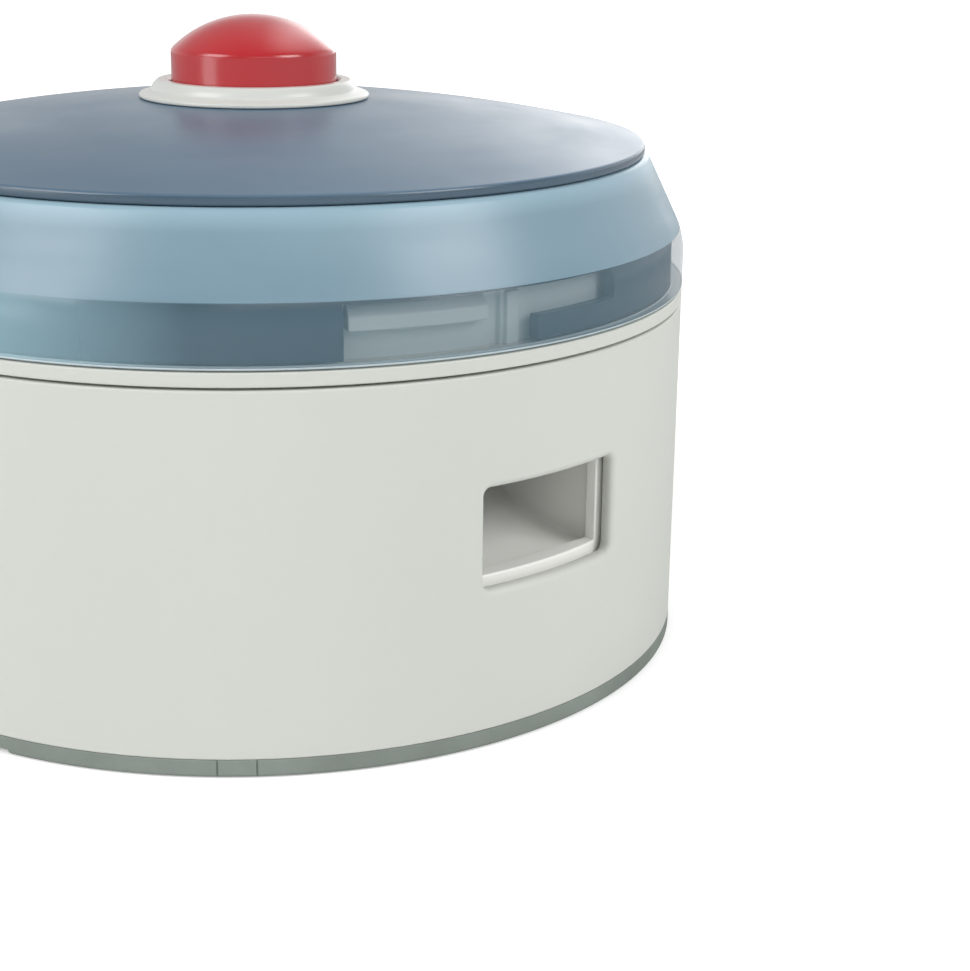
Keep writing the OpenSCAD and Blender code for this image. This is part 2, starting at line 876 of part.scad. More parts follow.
outer_shell();
base_plate();
foot_ring();
base_screws();
outlet_chute();
chute_screws();
wheel_floor();
floor_screws();
drive_bush();
friction_ring();
hopper();
feed_wiper();
spring_washer();
return_spring();
push_rod();
twist_spindle();
spindle_pin();
ratchet_driver();
spiral_nut();
portion_wheel();
ratchet_ring();
lid_plate();
lid_seal();
button_bezel();
button_cup();
bezel_nut();
lock_ring();
bayonet_ring();
retaining_ring();
button_cap();
button_stem();
button_screws();
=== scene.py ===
"""A push-button treat dispenser, dressed for a plain studio picture.

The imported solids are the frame. Each sub-assembly is a class that models the pieces that show, keeps the
solids whose shape is already right, and gives every surface its finish. Outlines are (radius, height) in
millimetres.
"""

import json
import logging
import math
from dataclasses import dataclass, field
from enum import Enum

import bpy
from mathutils import Matrix, Vector


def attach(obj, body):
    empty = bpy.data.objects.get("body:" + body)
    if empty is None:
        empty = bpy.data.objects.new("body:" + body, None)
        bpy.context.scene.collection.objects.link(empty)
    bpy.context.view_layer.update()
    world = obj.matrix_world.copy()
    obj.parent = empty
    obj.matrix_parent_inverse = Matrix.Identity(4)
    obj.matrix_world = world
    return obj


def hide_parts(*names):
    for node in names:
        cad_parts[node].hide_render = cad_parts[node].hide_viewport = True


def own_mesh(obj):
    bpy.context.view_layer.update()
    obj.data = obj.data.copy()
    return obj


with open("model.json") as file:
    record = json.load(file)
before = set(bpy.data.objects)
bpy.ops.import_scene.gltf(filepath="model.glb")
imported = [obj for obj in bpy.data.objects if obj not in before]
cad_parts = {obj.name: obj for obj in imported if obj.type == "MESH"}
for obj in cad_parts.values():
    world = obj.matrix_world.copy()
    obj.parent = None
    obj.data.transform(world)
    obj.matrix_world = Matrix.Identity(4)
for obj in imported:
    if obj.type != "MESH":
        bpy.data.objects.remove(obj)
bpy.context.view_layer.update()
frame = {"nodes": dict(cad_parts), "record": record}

MM = 0.001
WELD = 2e-6  # vertices closer than this, in metres, are merged
NEAR = 1e-6  # lengths under this, in metres, count as nothing
LOG = logging.getLogger("dispenser")

Point = tuple[float, float]
Colour = tuple[float, float, float]


# ---- modelling helpers ----


def deselect() -> None:
    """Leaves edit mode and deselects everything."""
    if bpy.context.object and bpy.context.object.mode != "OBJECT":
        bpy.ops.object.mode_set(mode="OBJECT")
    bpy.ops.object.select_all(action="DESELECT")


def activate(obj: bpy.types.Object) -> None:
    """Makes obj the only selected object and the active one."""
    deselect()
    obj.select_set(True)
    bpy.context.view_layer.objects.active = obj


def settle(obj: bpy.types.Object, name: str) -> bpy.types.Object:
    """Names obj and puts its place into its mesh.

    Args:
        obj: The object.
        name: The piece's name.

    Returns:
        The same object, at the origin.
    """
    activate(obj)
    bpy.ops.object.transform_apply(location=True, rotation=True, scale=True)
    obj.name = name
    obj.data.name = name
    return obj


def rounded(corners: list[tuple], turn: float = 12.0) -> list[Point]:
    """Rounds the corners of a closed outline.

    Args:
        corners: (radius, height) or (radius, height, fillet) for each corner, in order.
        turn: Degrees of arc between two points of a fillet.

    Returns:
        The outline's points.
    """
    points: list[Point] = []
    for i, corner in enumerate(corners):
        here = Vector(corner[:2])
        fillet = corner[2] if len(corner) > 2 else 0.0
        if not fillet:
            points.append(tuple(here))
            continue
        before = (Vector(corners[i - 1][:2]) - here).normalized()
        after = (Vector(corners[(i + 1) % len(corners)][:2]) - here).normalized()
        half = before.angle(after) / 2
        centre = here + (before + after).normalized() * (fillet / math.sin(half))
        start = here + before * (fillet / math.tan(half)) - centre
        sweep = start.angle_signed(here + after * (fillet / math.tan(half)) - centre)
        count = max(2, math.ceil(abs(math.degrees(sweep)) / turn))
        for k in range(count + 1):
            spot = start.copy()
            spot.rotate(Matrix.Rotation(-sweep * k / count, 2))
            points.append(tuple(centre + spot))
    return points


def divided(points: list[Point], longest: float) -> list[Point]:
    """Splits the sides of a closed outline that are longer than longest."""
    result: list[Point] = []
    for a, b in zip(points, points[1:] + points[:1]):
        parts = max(1, math.ceil(math.dist(a, b) / longest))
        result += [(a[0] + (b[0] - a[0]) * k / parts, a[1] + (b[1] - a[1]) * k / parts) for k in range(parts)]
    return result


def smooth(obj: bpy.types.Object, angle: float = 32.0) -> None:
    """Shades obj smooth, with hard edges where it turns by more than angle degrees."""
    activate(obj)
    bpy.ops.object.shade_smooth_by_angle(angle=math.radians(angle))


def spun(name: str, outline: list[Point], steps: int = 240, closed: bool = True) -> bpy.types.Object:
    """Draws an outline with extrusions and spins it round the Z axis.

    Args:
        name: The piece's name.
        outline: (radius, height) points in millimetres.
        steps: Steps of the whole turn.
        closed: True to join the last point to the first.

    Returns:
        The new piece, with its doubles merged and its normals pointing outwards.
    """
    deselect()
    points = [Vector((r * MM, 0.0, z * MM)) for r, z in outline]
    bpy.ops.mesh.primitive_plane_add(size=MM, location=points[0])
    obj = bpy.context.object
    bpy.ops.object.mode_set(mode="EDIT")
    bpy.ops.mesh.select_mode(type="VERT")
    bpy.ops.mesh.select_all(action="SELECT")
    bpy.ops.mesh.merge(type="CENTER")
    for a, b in zip(points, points[1:] + (points[:1] if closed else [])):
        bpy.ops.mesh.extrude_region_move(TRANSFORM_OT_translate={"value": b - a})
    bpy.ops.mesh.select_all(action="SELECT")
    bpy.ops.mesh.spin(steps=steps, angle=math.tau, center=(0, 0, 0), axis=(0, 0, 1))
    bpy.ops.mesh.select_all(action="SELECT")
    bpy.ops.mesh.remove_doubles(threshold=WELD)
    bpy.ops.mesh.normals_make_consistent(inside=False)
    bpy.ops.object.mode_set(mode="OBJECT")
    settle(obj, name)
    smooth(obj)
    return obj


def apply(obj: bpy.types.Object, kind: str, **settings: object) -> None:
    """Adds a modifier with the given settings and applies it."""
    activate(obj)
    modifier = obj.modifiers.new(kind.lower(), kind)
    for key, value in settings.items():
        setattr(modifier, key, value)
    bpy.ops.object.modifier_apply(modifier=modifier.name)


def cut(obj: bpy.types.Object, cutter: bpy.types.Object) -> None:
    """Cuts the cutter's shape out of obj and deletes the cutter."""
    apply(obj, "BOOLEAN", operation="DIFFERENCE", object=cutter, solver="EXACT")
    bpy.data.objects.remove(cutter)


def soften(obj: bpy.types.Object, width: float, segments: int = 3, angle: float = 32.0) -> None:
    """Rounds the hard edges of obj.

    Args:
        obj: The piece.
        width: Width of the rounding, in millimetres.
        segments: Faces across the rounding.
        angle: Edges that turn by more than this many degrees are rounded.
    """
    apply(
        obj, "BEVEL", width=width * MM, segments=segments, limit_method="ANGLE",
        angle_limit=math.radians(angle), use_clamp_overlap=False, miter_outer="MITER_ARC",
    )
    smooth(obj, 40.0)
    apply(obj, "WEIGHTED_NORMAL", keep_sharp=True, weight=50)


def block(name: str, low: tuple, high: tuple) -> bpy.types.Object:
    """A box between two corners, in millimetres."""
    deselect()
    middle = [(a + b) / 2 * MM for a, b in zip(low, high)]
    bpy.ops.mesh.primitive_cube_add(size=1.0, location=middle)
    bpy.context.object.scale = [(b - a) * MM for a, b in zip(low, high)]
    return settle(bpy.context.object, name)


def turned(obj: bpy.types.Object, degrees: float) -> bpy.types.Object:
    """Turns obj about the Z axis, counter-clockwise from above."""
    obj.matrix_world = Matrix.Rotation(math.radians(degrees), 4, "Z") @ obj.matrix_world
    return settle(obj, obj.name)


def softened_node(node: str, width: float, name: str = "", segments: int = 3) -> bpy.types.Object:
    """Copies a solid, merges its loose triangles and rounds its edges.

    Args:
        node: The solid's name.
        width: Width of the rounding, in millimetres.
        name: The new piece's name; the node's name and "_piece" if empty.
        segments: Faces across the rounding.

    Returns:
        The new piece, which replaces the node and rides on its body.
    """
    source = frame["nodes"][node]
    obj = bpy.data.objects.new(name or f"{node}_piece", source.data.copy())
    bpy.context.scene.collection.objects.link(obj)
    obj.data.name = obj.name
    activate(obj)
    bpy.ops.mesh.customdata_custom_splitnormals_clear()
    bpy.ops.object.mode_set(mode="EDIT")
    bpy.ops.mesh.select_all(action="SELECT")
    bpy.ops.mesh.remove_doubles(threshold=WELD)
    bpy.ops.mesh.dissolve_limited(angle_limit=math.radians(0.4))
    bpy.ops.object.mode_set(mode="OBJECT")
    soften(obj, width, segments)
    obj.data.materials.clear()
    return stand_in(obj, node)


def stand_in(obj: bpy.types.Object, node: str) -> bpy.types.Object:
    """Lets obj ride on the node's body and replace the node."""
    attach(obj, BODY_OF[node])
    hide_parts(node)
    LOG.info("%s replaces %s on %s, %d faces", obj.name, node, BODY_OF[node], len(obj.data.polygons))
    return obj


def dress(obj: bpy.types.Object, *materials: bpy.types.Material) -> None:
    """Gives obj these materials and no others."""
    obj.data.materials.clear()
    for material in materials:
        obj.data.materials.append(material)


def dress_node(node: str, material: bpy.types.Material) -> None:
    """Gives a solid that stays a better material."""
    frame["nodes"][node].material_slots[0].material = material
    LOG.info("%s keeps its solid, finish %s", node, material.name)


BODY_OF = {n: body for body, nodes in frame["record"]["behaviour"]["bodies"].items() for n in nodes}


# ---- finishes ----


class Nodes:
    """A small helper that builds one material's node tree."""

    def __init__(self, name: str) -> None:
        """Starts a material with a Principled shader."""
        self.material = bpy.data.materials.new(name)
        self.material.use_nodes = True
        self.tree = self.material.node_tree
        self.shader = self.tree.nodes["Principled BSDF"]
        self.place = self.add("ShaderNodeTexCoord").outputs["Object"]

    def add(self, kind: str, **settings: object) -> bpy.types.Node:
        """Adds a node and sets its properties."""
        node = self.tree.nodes.new(kind)
        for key, value in settings.items():
            setattr(node, key, value)
        return node

    def link(self, output: bpy.types.NodeSocket, target: bpy.types.NodeSocket) -> None:
        """Links two sockets."""
        self.tree.links.new(output, target)

    def stretched(self, scale: tuple[float, float, float]) -> bpy.types.NodeSocket:
        """Object coordinates, scaled along each axis."""
        mapping = self.add("ShaderNodeMapping")
        mapping.inputs["Scale"].default_value = scale
        self.link(self.place, mapping.inputs["Vector"])
        return mapping.outputs["Vector"]

    def noise(
        self, scale: float, detail: float, place: bpy.types.NodeSocket | None = None
    ) -> bpy.types.NodeSocket:
        """A noise pattern's factor, at so many features a metre."""
        node = self.add("ShaderNodeTexNoise")
        node.inputs["Scale"].default_value = scale
        node.inputs["Detail"].default_value = detail
        self.link(place or self.place, node.inputs["Vector"])
        return node.outputs["Fac"]

    def height(self) -> bpy.types.NodeSocket:
        """The height above the foot, in metres."""
        split = self.add("ShaderNodeSeparateXYZ")
        self.link(self.place, split.inputs["Vector"])
        return split.outputs["Z"]

    def towards(self, degrees: float) -> bpy.types.NodeSocket:
        """How far a point lies towards an angle, counted from the outlet, in metres."""
        node = self.add("ShaderNodeVectorMath", operation="DOT_PRODUCT")
        angle = math.radians(degrees)
        node.inputs[1].default_value = (math.sin(angle), -math.cos(angle), 0.0)
        self.link(self.place, node.inputs[0])
        return node.outputs["Value"]

    def mean(self, first: bpy.types.NodeSocket, second: bpy.types.NodeSocket) -> bpy.types.NodeSocket:
        """The mean of two values."""
        node = self.add("ShaderNodeMath", operation="MULTIPLY_ADD")
        node.inputs[1].default_value = 0.5
        half = self.add("ShaderNodeMath", operation="MULTIPLY")
        half.inputs[1].default_value = 0.5
        self.link(second, half.inputs[0])
        self.link(first, node.inputs[0])
        self.link(half.outputs[0], node.inputs[2])
        return node.outputs[0]

    def between(
        self, value: bpy.types.NodeSocket, low: float, high: float, span: Point = (0.3, 0.7)
    ) -> bpy.types.NodeSocket:
        """Maps a span of value onto low to high."""
        node = self.add("ShaderNodeMapRange")
        self.link(value, node.inputs["Value"])
        for key, number in zip(("From Min", "From Max", "To Min", "To Max"), (*span, low, high)):
            node.inputs[key].default_value = number
        return node.outputs["Result"]

    def blended(
        self, factor: bpy.types.NodeSocket, *colours: Colour | bpy.types.NodeSocket
    ) -> bpy.types.NodeSocket:
        """Mixes two colours, each of them a constant or a socket."""
        node = self.add("ShaderNodeMixRGB")
        self.link(factor, node.inputs["Fac"])
        for key, colour in zip(("Color1", "Color2"), colours):
            if isinstance(colour, tuple):
                node.inputs[key].default_value = (*colour, 1.0)
            else:
                self.link(colour, node.inputs[key])
        return node.outputs["Color"]

    def bump(
        self, value: bpy.types.NodeSocket, depth: float, under: bpy.types.Node | None = None
    ) -> bpy.types.Node:
        """Adds a bump of a depth in metres and returns its node."""
        node = self.add("ShaderNodeBump")
        node.inputs["Distance"].default_value = depth
        self.link(value, node.inputs["Height"])
        if under:
            self.link(under.outputs["Normal"], node.inputs["Normal"])
        self.link(node.outputs["Normal"], self.shader.inputs["Normal"])
        return node

    def colour(
        self, pattern: bpy.types.NodeSocket, colour: Colour, darker: float, lighter: float
    ) -> None:
        """Colours the shader, darker and lighter by these shares where a pattern is low and high."""
        dark, light = tinted(colour, -darker), tinted(colour, lighter)
        shade = self.blended(self.between(pattern, 0.0, 1.0), dark, light)
        self.link(shade, self.shader.inputs["Base Color"])

    def roughen(self, pattern: bpy.types.NodeSocket, low: float, high: float) -> None:
        """Sets the shader's roughness from low to high, as a pattern goes."""
        self.link(self.between(pattern, low, high), self.shader.inputs["Roughness"])

    def set(self, **values: float) -> None:
        """Sets the shader's own sockets, with _ for a space in a name."""
        for key, value in values.items():
            self.shader.inputs[key.replace("_", " ")].default_value = value


def tinted(colour: Colour, share: float) -> Colour:
    """A colour made lighter or darker by a share."""
    return tuple(min(1.0, c * (1 + share)) for c in colour)


@dataclass(frozen=True)
class MouldedPlastic:
    """Satin plastic from a spark-eroded mould: a fine grain, faint flow marks and slight mottling."""

    name: str
    colour: Colour
    rough: float = 0.46
    grain: float = 0.000012
    mottle: float = 0.02
    coat: float = 0.0

    def make(self) -> bpy.types.Material:
        """Builds the material."""
        n = Nodes(self.name)
        flow = n.noise(9.0, 4.0, n.stretched((1.0, 1.0, 0.35)))
        n.colour(flow, self.colour, self.mottle, self.mottle)
        n.roughen(n.noise(60.0, 5.0), self.rough - 0.05, self.rough + 0.05)
        grain = n.bump(n.noise(2600.0, 2.0), self.grain)
        n.bump(n.noise(160.0, 2.0), self.grain * 1.5, grain)
        n.set(Coat_Weight=self.coat, Coat_Roughness=0.2)
        return n.material


@dataclass(frozen=True)
class FrostedPlastic:
    """Translucent plastic, cloudy, with faint streaks and a polish of its own.

    Attributes:
        heights: Between these two heights, in metres, the plastic goes from its deep colour to the other.
        painted_light: How much lighter the plastic is painted, as painted light, on one side or near one
            height.
        painted_light_heights: The painted light follows the height between these two, in metres, instead of
            the side.
        painted_light_side: Degrees from the outlet to the side with the painted light.
        painted_light_reach: The painted light grows from the first distance towards that side to the second,
            in metres.
    """

    name: str
    colour: Colour
    deep: Colour
    alpha: float
    rough: float
    heights: Point | None = None
    # Painted light: the plastic is painted lighter on one side or near one height, standing in for lamp
    # light.
    painted_light: float = 0.0
    painted_light_heights: Point | None = None
    painted_light_side: float = -105.0
    painted_light_reach: Point = (0.045, 0.085)

    def make(self) -> bpy.types.Material:
        """Builds the material."""
        n = Nodes(self.name)
        cloud = n.noise(14.0, 4.0, n.stretched((1.0, 1.0, 2.0)))
        share = n.between(cloud, 0.0, 1.0, (0.35, 0.65))
        if self.heights:
            share = n.mean(share, n.between(n.height(), 1.0, 0.0, self.heights))
        shade = n.blended(share, self.colour, self.deep)
        # Painted light: a lighter colour on one side, or towards one height, in place of light from the
        # lamps.
        if self.painted_light:
            if self.painted_light_heights:
                painted_light_share = n.between(n.height(), 0.0, 1.0, self.painted_light_heights)
            else:
                painted_light_share = n.between(n.towards(self.painted_light_side), 0.0, 1.0, self.painted_light_reach)
            shade = n.blended(painted_light_share, shade, tinted(self.colour, self.painted_light))
        n.link(shade, n.shader.inputs["Base Color"])
        streak = n.noise(35.0, 6.0, n.stretched((1.0, 1.0, 9.0)))
        n.roughen(streak, self.rough - 0.04, self.rough + 0.05)
        n.set(Alpha=self.alpha)
        frost = n.bump(n.noise(3200.0, 2.0), 0.0000015)
        n.bump(n.noise(90.0, 3.0), 0.000006, frost)
        return n.material


@dataclass(frozen=True)
class SoftRubber:
    """Matt rubber with a powdery bloom and small scuffs."""

    name: str
    colour: Colour
    rough: float = 0.75

    def make(self) -> bpy.types.Material:
        """Builds the material."""
        n = Nodes(self.name)
        n.colour(n.noise(45.0, 6.0), self.colour, 0.12, 0.14)
        n.roughen(n.noise(300.0, 4.0), self.rough - 0.1, self.rough + 0.1)
        n.bump(n.noise(1500.0, 4.0), 0.00004)
        n.set(Specular_IOR_Level=0.35)
        return n.material


@dataclass(frozen=True)
class DrawnMetal:
    """Metal with fine lines along one way and a slightly uneven polish."""

    name: str
    colour: Colour
    rough: float = 0.32
    lines: tuple[float, float, float] = (1.0, 1.0, 12.0)

    def make(self) -> bpy.types.Material:
        """Builds the material."""
        n = Nodes(self.name)
        n.set(Metallic=1.0)
        lines = n.noise(900.0, 3.0, n.stretched(self.lines))
        n.colour(lines, self.colour, 0.15, 0.08)
        n.roughen(lines, self.rough - 0.08, self.rough + 0.1)
        n.bump(lines, 0.000015)
        return n.material


@dataclass(frozen=True)
class PressedFelt:
    """Wool felt, fibres in every direction."""

    name: str
    colour: Colour

    def make(self) -> bpy.types.Material:
        """Builds the material."""
        n = Nodes(self.name)
        fibres = n.noise(2200.0, 8.0)
        n.colour(fibres, self.colour, 0.35, 0.3)
        n.set(Roughness=0.95, Sheen_Weight=0.4)
        n.bump(fibres, 0.0002)
        return n.material


class Finish(Enum):
    """The finishes of the dispenser."""

    SHELL = MouldedPlastic("shell_satin", (0.565, 0.58, 0.54), 0.5)
    BASE = MouldedPlastic("base_satin", (0.58, 0.595, 0.55), 0.52)
    INNER = MouldedPlastic("inner_satin", (0.60, 0.61, 0.57), 0.42)
    WHEEL = MouldedPlastic("wheel_satin", (0.26, 0.36, 0.43), 0.42)
    ACETAL = MouldedPlastic("acetal", (0.72, 0.72, 0.66), 0.35, grain=0.000006)
    BUTTON = MouldedPlastic("button_red", (0.44, 0.017, 0.023), 0.22, grain=0.000004, mottle=0.05, coat=0.35)
    BEZEL = MouldedPlastic("bezel_satin", (0.60, 0.615, 0.58), 0.34, coat=0.15)
    PLATE = FrostedPlastic("plate_satin", (0.090, 0.158, 0.230), (0.078, 0.138, 0.205), 0.97, 0.325)
    # The plate's edge wall is a darker copy of the plate's plastic: painted shade under the plate's rim.
    EDGE = FrostedPlastic("plate_edge", (0.058, 0.098, 0.138), (0.050, 0.088, 0.126), 1.0, 0.2)
    # The band is painted lighter towards the lip's top: a painted highlight on the lip's rounding.
    BAND = FrostedPlastic(
        "band_frosted", (0.22, 0.33, 0.395), (0.15, 0.245, 0.31), 0.95, 0.325,
        heights=(0.085, 0.101), painted_light=0.25, painted_light_heights=(0.0985, 0.1018),
    )
    # The skirt is painted much lighter on its left side: painted light from the lamps on the left.
    SKIRT = FrostedPlastic("skirt_clear", (0.14, 0.225, 0.275), (0.12, 0.20, 0.25), 0.45, 0.2, painted_light=2.9)
    SKIRT_INSIDE = FrostedPlastic("skirt_inside", (0.16, 0.25, 0.30), (0.14, 0.22, 0.27), 0.04, 0.2)
    # A light copy of the skirt's plastic for its lower edge: a painted highlight.
    SKIRT_EDGE_HIGHLIGHT = FrostedPlastic("skirt_edge_painted_highlight", (0.60, 0.70, 0.74), (0.54, 0.64, 0.68), 0.8, 0.25)
    # The hopper's own plastic painted lighter: painted light on the collar where the lock ring shades it.
    COLLAR_LIGHTENED = MouldedPlastic("collar_painted_light", (0.72, 0.80, 0.79), 0.42)
    BAYONET = MouldedPlastic("bayonet_blue", (0.018, 0.060, 0.095), 0.36, grain=0.0)
    CHUTE = MouldedPlastic("chute_white", (0.86, 0.86, 0.825), 0.5)
    RETAINER = MouldedPlastic("retainer_blue", (0.22, 0.32, 0.39), 0.4)
    FOOT = SoftRubber("foot_rubber", (0.20, 0.23, 0.205))
    SILICONE = SoftRubber("silicone", (0.46, 0.50, 0.50), 0.45)
    STEEL = DrawnMetal("zinc_steel", (0.60, 0.61, 0.63))
    WIRE = DrawnMetal("spring_wire", (0.55, 0.56, 0.58), 0.25, (3.0, 3.0, 3.0))
    STRIP = DrawnMetal("twisted_steel", (0.50, 0.51, 0.53), 0.28)
    BRASS = DrawnMetal("brass", (0.72, 0.52, 0.20), 0.3, (6.0, 6.0, 1.0))
    FELT = PressedFelt("felt", (0.12, 0.115, 0.105))

    def material(self) -> bpy.types.Material:
        """The finish's material, made once."""
        return bpy.data.materials.get(self.value.name) or self.value.make()


# ---- sub-assemblies ----


@dataclass
class Body:
    """Outer shell with the outlet window, base plate, foot ring and base screws.

    Attributes:
        window: Left, right, lower and upper side of the window's opening.
        notches: Degrees from the outlet to each finger notch.
        tab_lines: Degrees from the outlet to each fine line of the moulded tab.
    """

    radius: float = 90.0
    wall: float = 3.3
    ledge_reach: float = 2.2
    ledge_low: float = 6.1
    ledge_high: float = 8.1
    foot_height: float = 3.5
    foot_width: float = 10.0
    top: float = 72.4
    window: tuple[float, float, float, float] = (-16.65, 17.0, 31.35, 50.8)
    window_corner: float = 1.4
    window_round: float = 1.5
    notches: tuple[float, ...] = (-75.5, 104.5)
    notch_width: float = 18.8
    notch_height: float = 0.9
    tab_lines: tuple[float, ...] = (-43.2, -38.6)
    tab_half: float = 0.16

    def make(self) -> None:
        """Models and dresses the body's pieces."""
        self.shell()
        self.foot()
        dress(softened_node("base_plate", 0.3), Finish.BASE.material())
        dress(softened_node("base_screws", 0.12, segments=2), Finish.STEEL.material())

    def shell(self) -> None:
        """The upright wall, spun, with its window cut and rounded."""
        inner = self.radius - self.wall
        ledge, low, high = inner - self.ledge_reach, self.ledge_low, self.ledge_high
        outline = rounded([
            (self.radius, self.foot_height, 0.35), (self.radius, self.top, 0.5), (inner, self.top, 0.3),
            (inner, high, 0.3), (ledge, high, 0.3), (ledge, low, 0.3), (inner, low, 0.3),
            (inner, self.foot_height, 0.3),
        ])
        wall = spun("outer_shell_piece", outline, 120)
        cut(wall, self.window_cutter())
        soften(wall, self.window_round, 6)
        dress(stand_in(wall, "outer_shell"), Finish.SHELL.material())

    def window_cutter(self) -> bpy.types.Object:
        """A box with its four corners rounded, through the wall."""
        left, right, low, high = self.window
        box = block("window", (left, -self.radius - 4, low), (right, -self.radius + 14, high))
        bpy.ops.object.mode_set(mode="EDIT")
        bpy.ops.mesh.select_mode(type="EDGE")
        bpy.ops.mesh.select_all(action="DESELECT")
        bpy.ops.object.mode_set(mode="OBJECT")
        for edge in box.data.edges:
            a, b = (box.data.vertices[v].co for v in edge.vertices)
            edge.select = abs(a.x - b.x) < NEAR and abs(a.z - b.z) < NEAR
        bpy.ops.object.mode_set(mode="EDIT")
        bpy.ops.mesh.bevel(offset=self.window_corner * MM, segments=8)
        bpy.ops.object.mode_set(mode="OBJECT")
        return box

    def foot(self) -> None:
        """The soft ring, with its finger notches and the fine lines of a moulded tab."""
        inner = self.radius - self.foot_width
        ring = spun("foot_ring_piece", rounded([
            (inner, 0.0, 0.5), (self.radius, 0.0, 0.8), (self.radius, self.foot_height, 0.25),
            (inner, self.foot_height, 0.25),
        ]), 300)
        half = self.notch_width / 2
        for angle in self.notches:
            notch = block("notch", (-half, -self.radius - 3, -1), (half, -inner + 3, self.notch_height))
            cut(ring, turned(notch, angle))
        for angle in self.tab_lines:
            low = (-self.tab_half, -self.radius - 1, -1)
            high = (self.tab_half, -self.radius + 0.3, self.foot_height + 1)
            cut(ring, turned(block("line", low, high), angle))
        soften(ring, 0.12, 2)
        dress(stand_in(ring, "foot_ring"), Finish.FOOT.material())


@dataclass
class Outlet:
    """The chute, its frame in the window, and its screws."""

    edge: float = 0.4

    def make(self) -> None:
        """Rounds and dresses the chute."""
        dress(softened_node("outlet_chute", self.edge, segments=4), Finish.CHUTE.material())
        dress(softened_node("chute_screws", 0.1, segments=2), Finish.STEEL.material())


@dataclass
class Hopper:
    """Rim, collar and feed plate, with the floor under the wheel and what is fixed to both.

    Attributes:
        collar_light_from: Height above which the hopper has the collar's finish, painted lighter as painted
            light.
        collar_light_to: Radius within which the hopper has the collar's finish.
    """

    collar_light_from: float = 76.2
    collar_light_to: float = 87.2
    wire: float = 0.9
    coil_radius: float = 5.7
    coil_from: float = 75.8
    coil_to: float = 92.0
    coils: int = 5
    stroke: float = 10.0

    def make(self) -> None:
        """Models and dresses the hopper's pieces."""
        hopper = softened_node("hopper", 0.35)
        dress(hopper, Finish.SHELL.material(), Finish.COLLAR_LIGHTENED.material())
        # The collar's faces get the lighter copy of the shell's plastic: painted light in the lock ring's
        # shade.
        for face in hopper.data.polygons:
            above = face.center.z > self.collar_light_from * MM
            within = face.center.xy.length < self.collar_light_to * MM
            face.material_index = int(above and within)
        dress(softened_node("wheel_floor", 0.3), Finish.INNER.material())
        dress(softened_node("floor_screws", 0.1, segments=2), Finish.STEEL.material())
        dress(softened_node("feed_wiper", 0.4), Finish.SILICONE.material())
        dress_node("drive_bush", Finish.ACETAL.material())
        dress_node("friction_ring", Finish.FELT.material())
        dress_node("spring_washer", Finish.STEEL.material())
        self.spring()

    def spring(self) -> None:
        """The return spring: a wire circle wound with the Screw modifier, closed at its ends."""
        deselect()
        low = (self.coil_from + self.wire / 2) * MM
        bpy.ops.mesh.primitive_circle_add(
            vertices=14, radius=self.wire / 2 * MM, fill_type="NGON",
            location=(self.coil_radius * MM, 0, low), rotation=(math.pi / 2, 0, 0),
        )
        coil = settle(bpy.context.object, "return_spring_piece")
        rise = (self.coil_to - self.coil_from - self.wire) * MM
        apply(
            coil, "SCREW", angle=math.tau, screw_offset=rise / self.coils, iterations=self.coils,
            steps=40, render_steps=40, use_merge_vertices=True, merge_threshold=NEAR,
        )
        activate(coil)
        bpy.ops.object.mode_set(mode="EDIT")
        bpy.ops.mesh.select_all(action="SELECT")
        bpy.ops.mesh.remove_doubles(threshold=NEAR)
        bpy.ops.mesh.fill_holes(sides=0)
        bpy.ops.mesh.select_all(action="SELECT")
        bpy.ops.mesh.normals_make_consistent(inside=False)
        bpy.ops.object.mode_set(mode="OBJECT")
        smooth(coil, 50.0)
        dress(stand_in(coil, "return_spring"), Finish.WIRE.material())
        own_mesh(coil)


@dataclass
class Drive:
    """Portion wheel, ratchet and the push rod with its twisted strip."""

    def make(self) -> None:
        """Rounds and dresses the moving inner pieces."""
        dress_node("portion_wheel", Finish.WHEEL.material())
        dress(softened_node("ratchet_ring", 0.12, segments=2), Finish.ACETAL.material())
        dress(softened_node("ratchet_driver", 0.2, segments=2), Finish.ACETAL.material())
        dress(softened_node("push_rod", 0.2, segments=2), Finish.ACETAL.material())
        dress(softened_node("twist_spindle", 0.15, segments=2), Finish.STRIP.material())
        dress_node("spiral_nut", Finish.BRASS.material())
        dress_node("spindle_pin", Finish.STEEL.material())


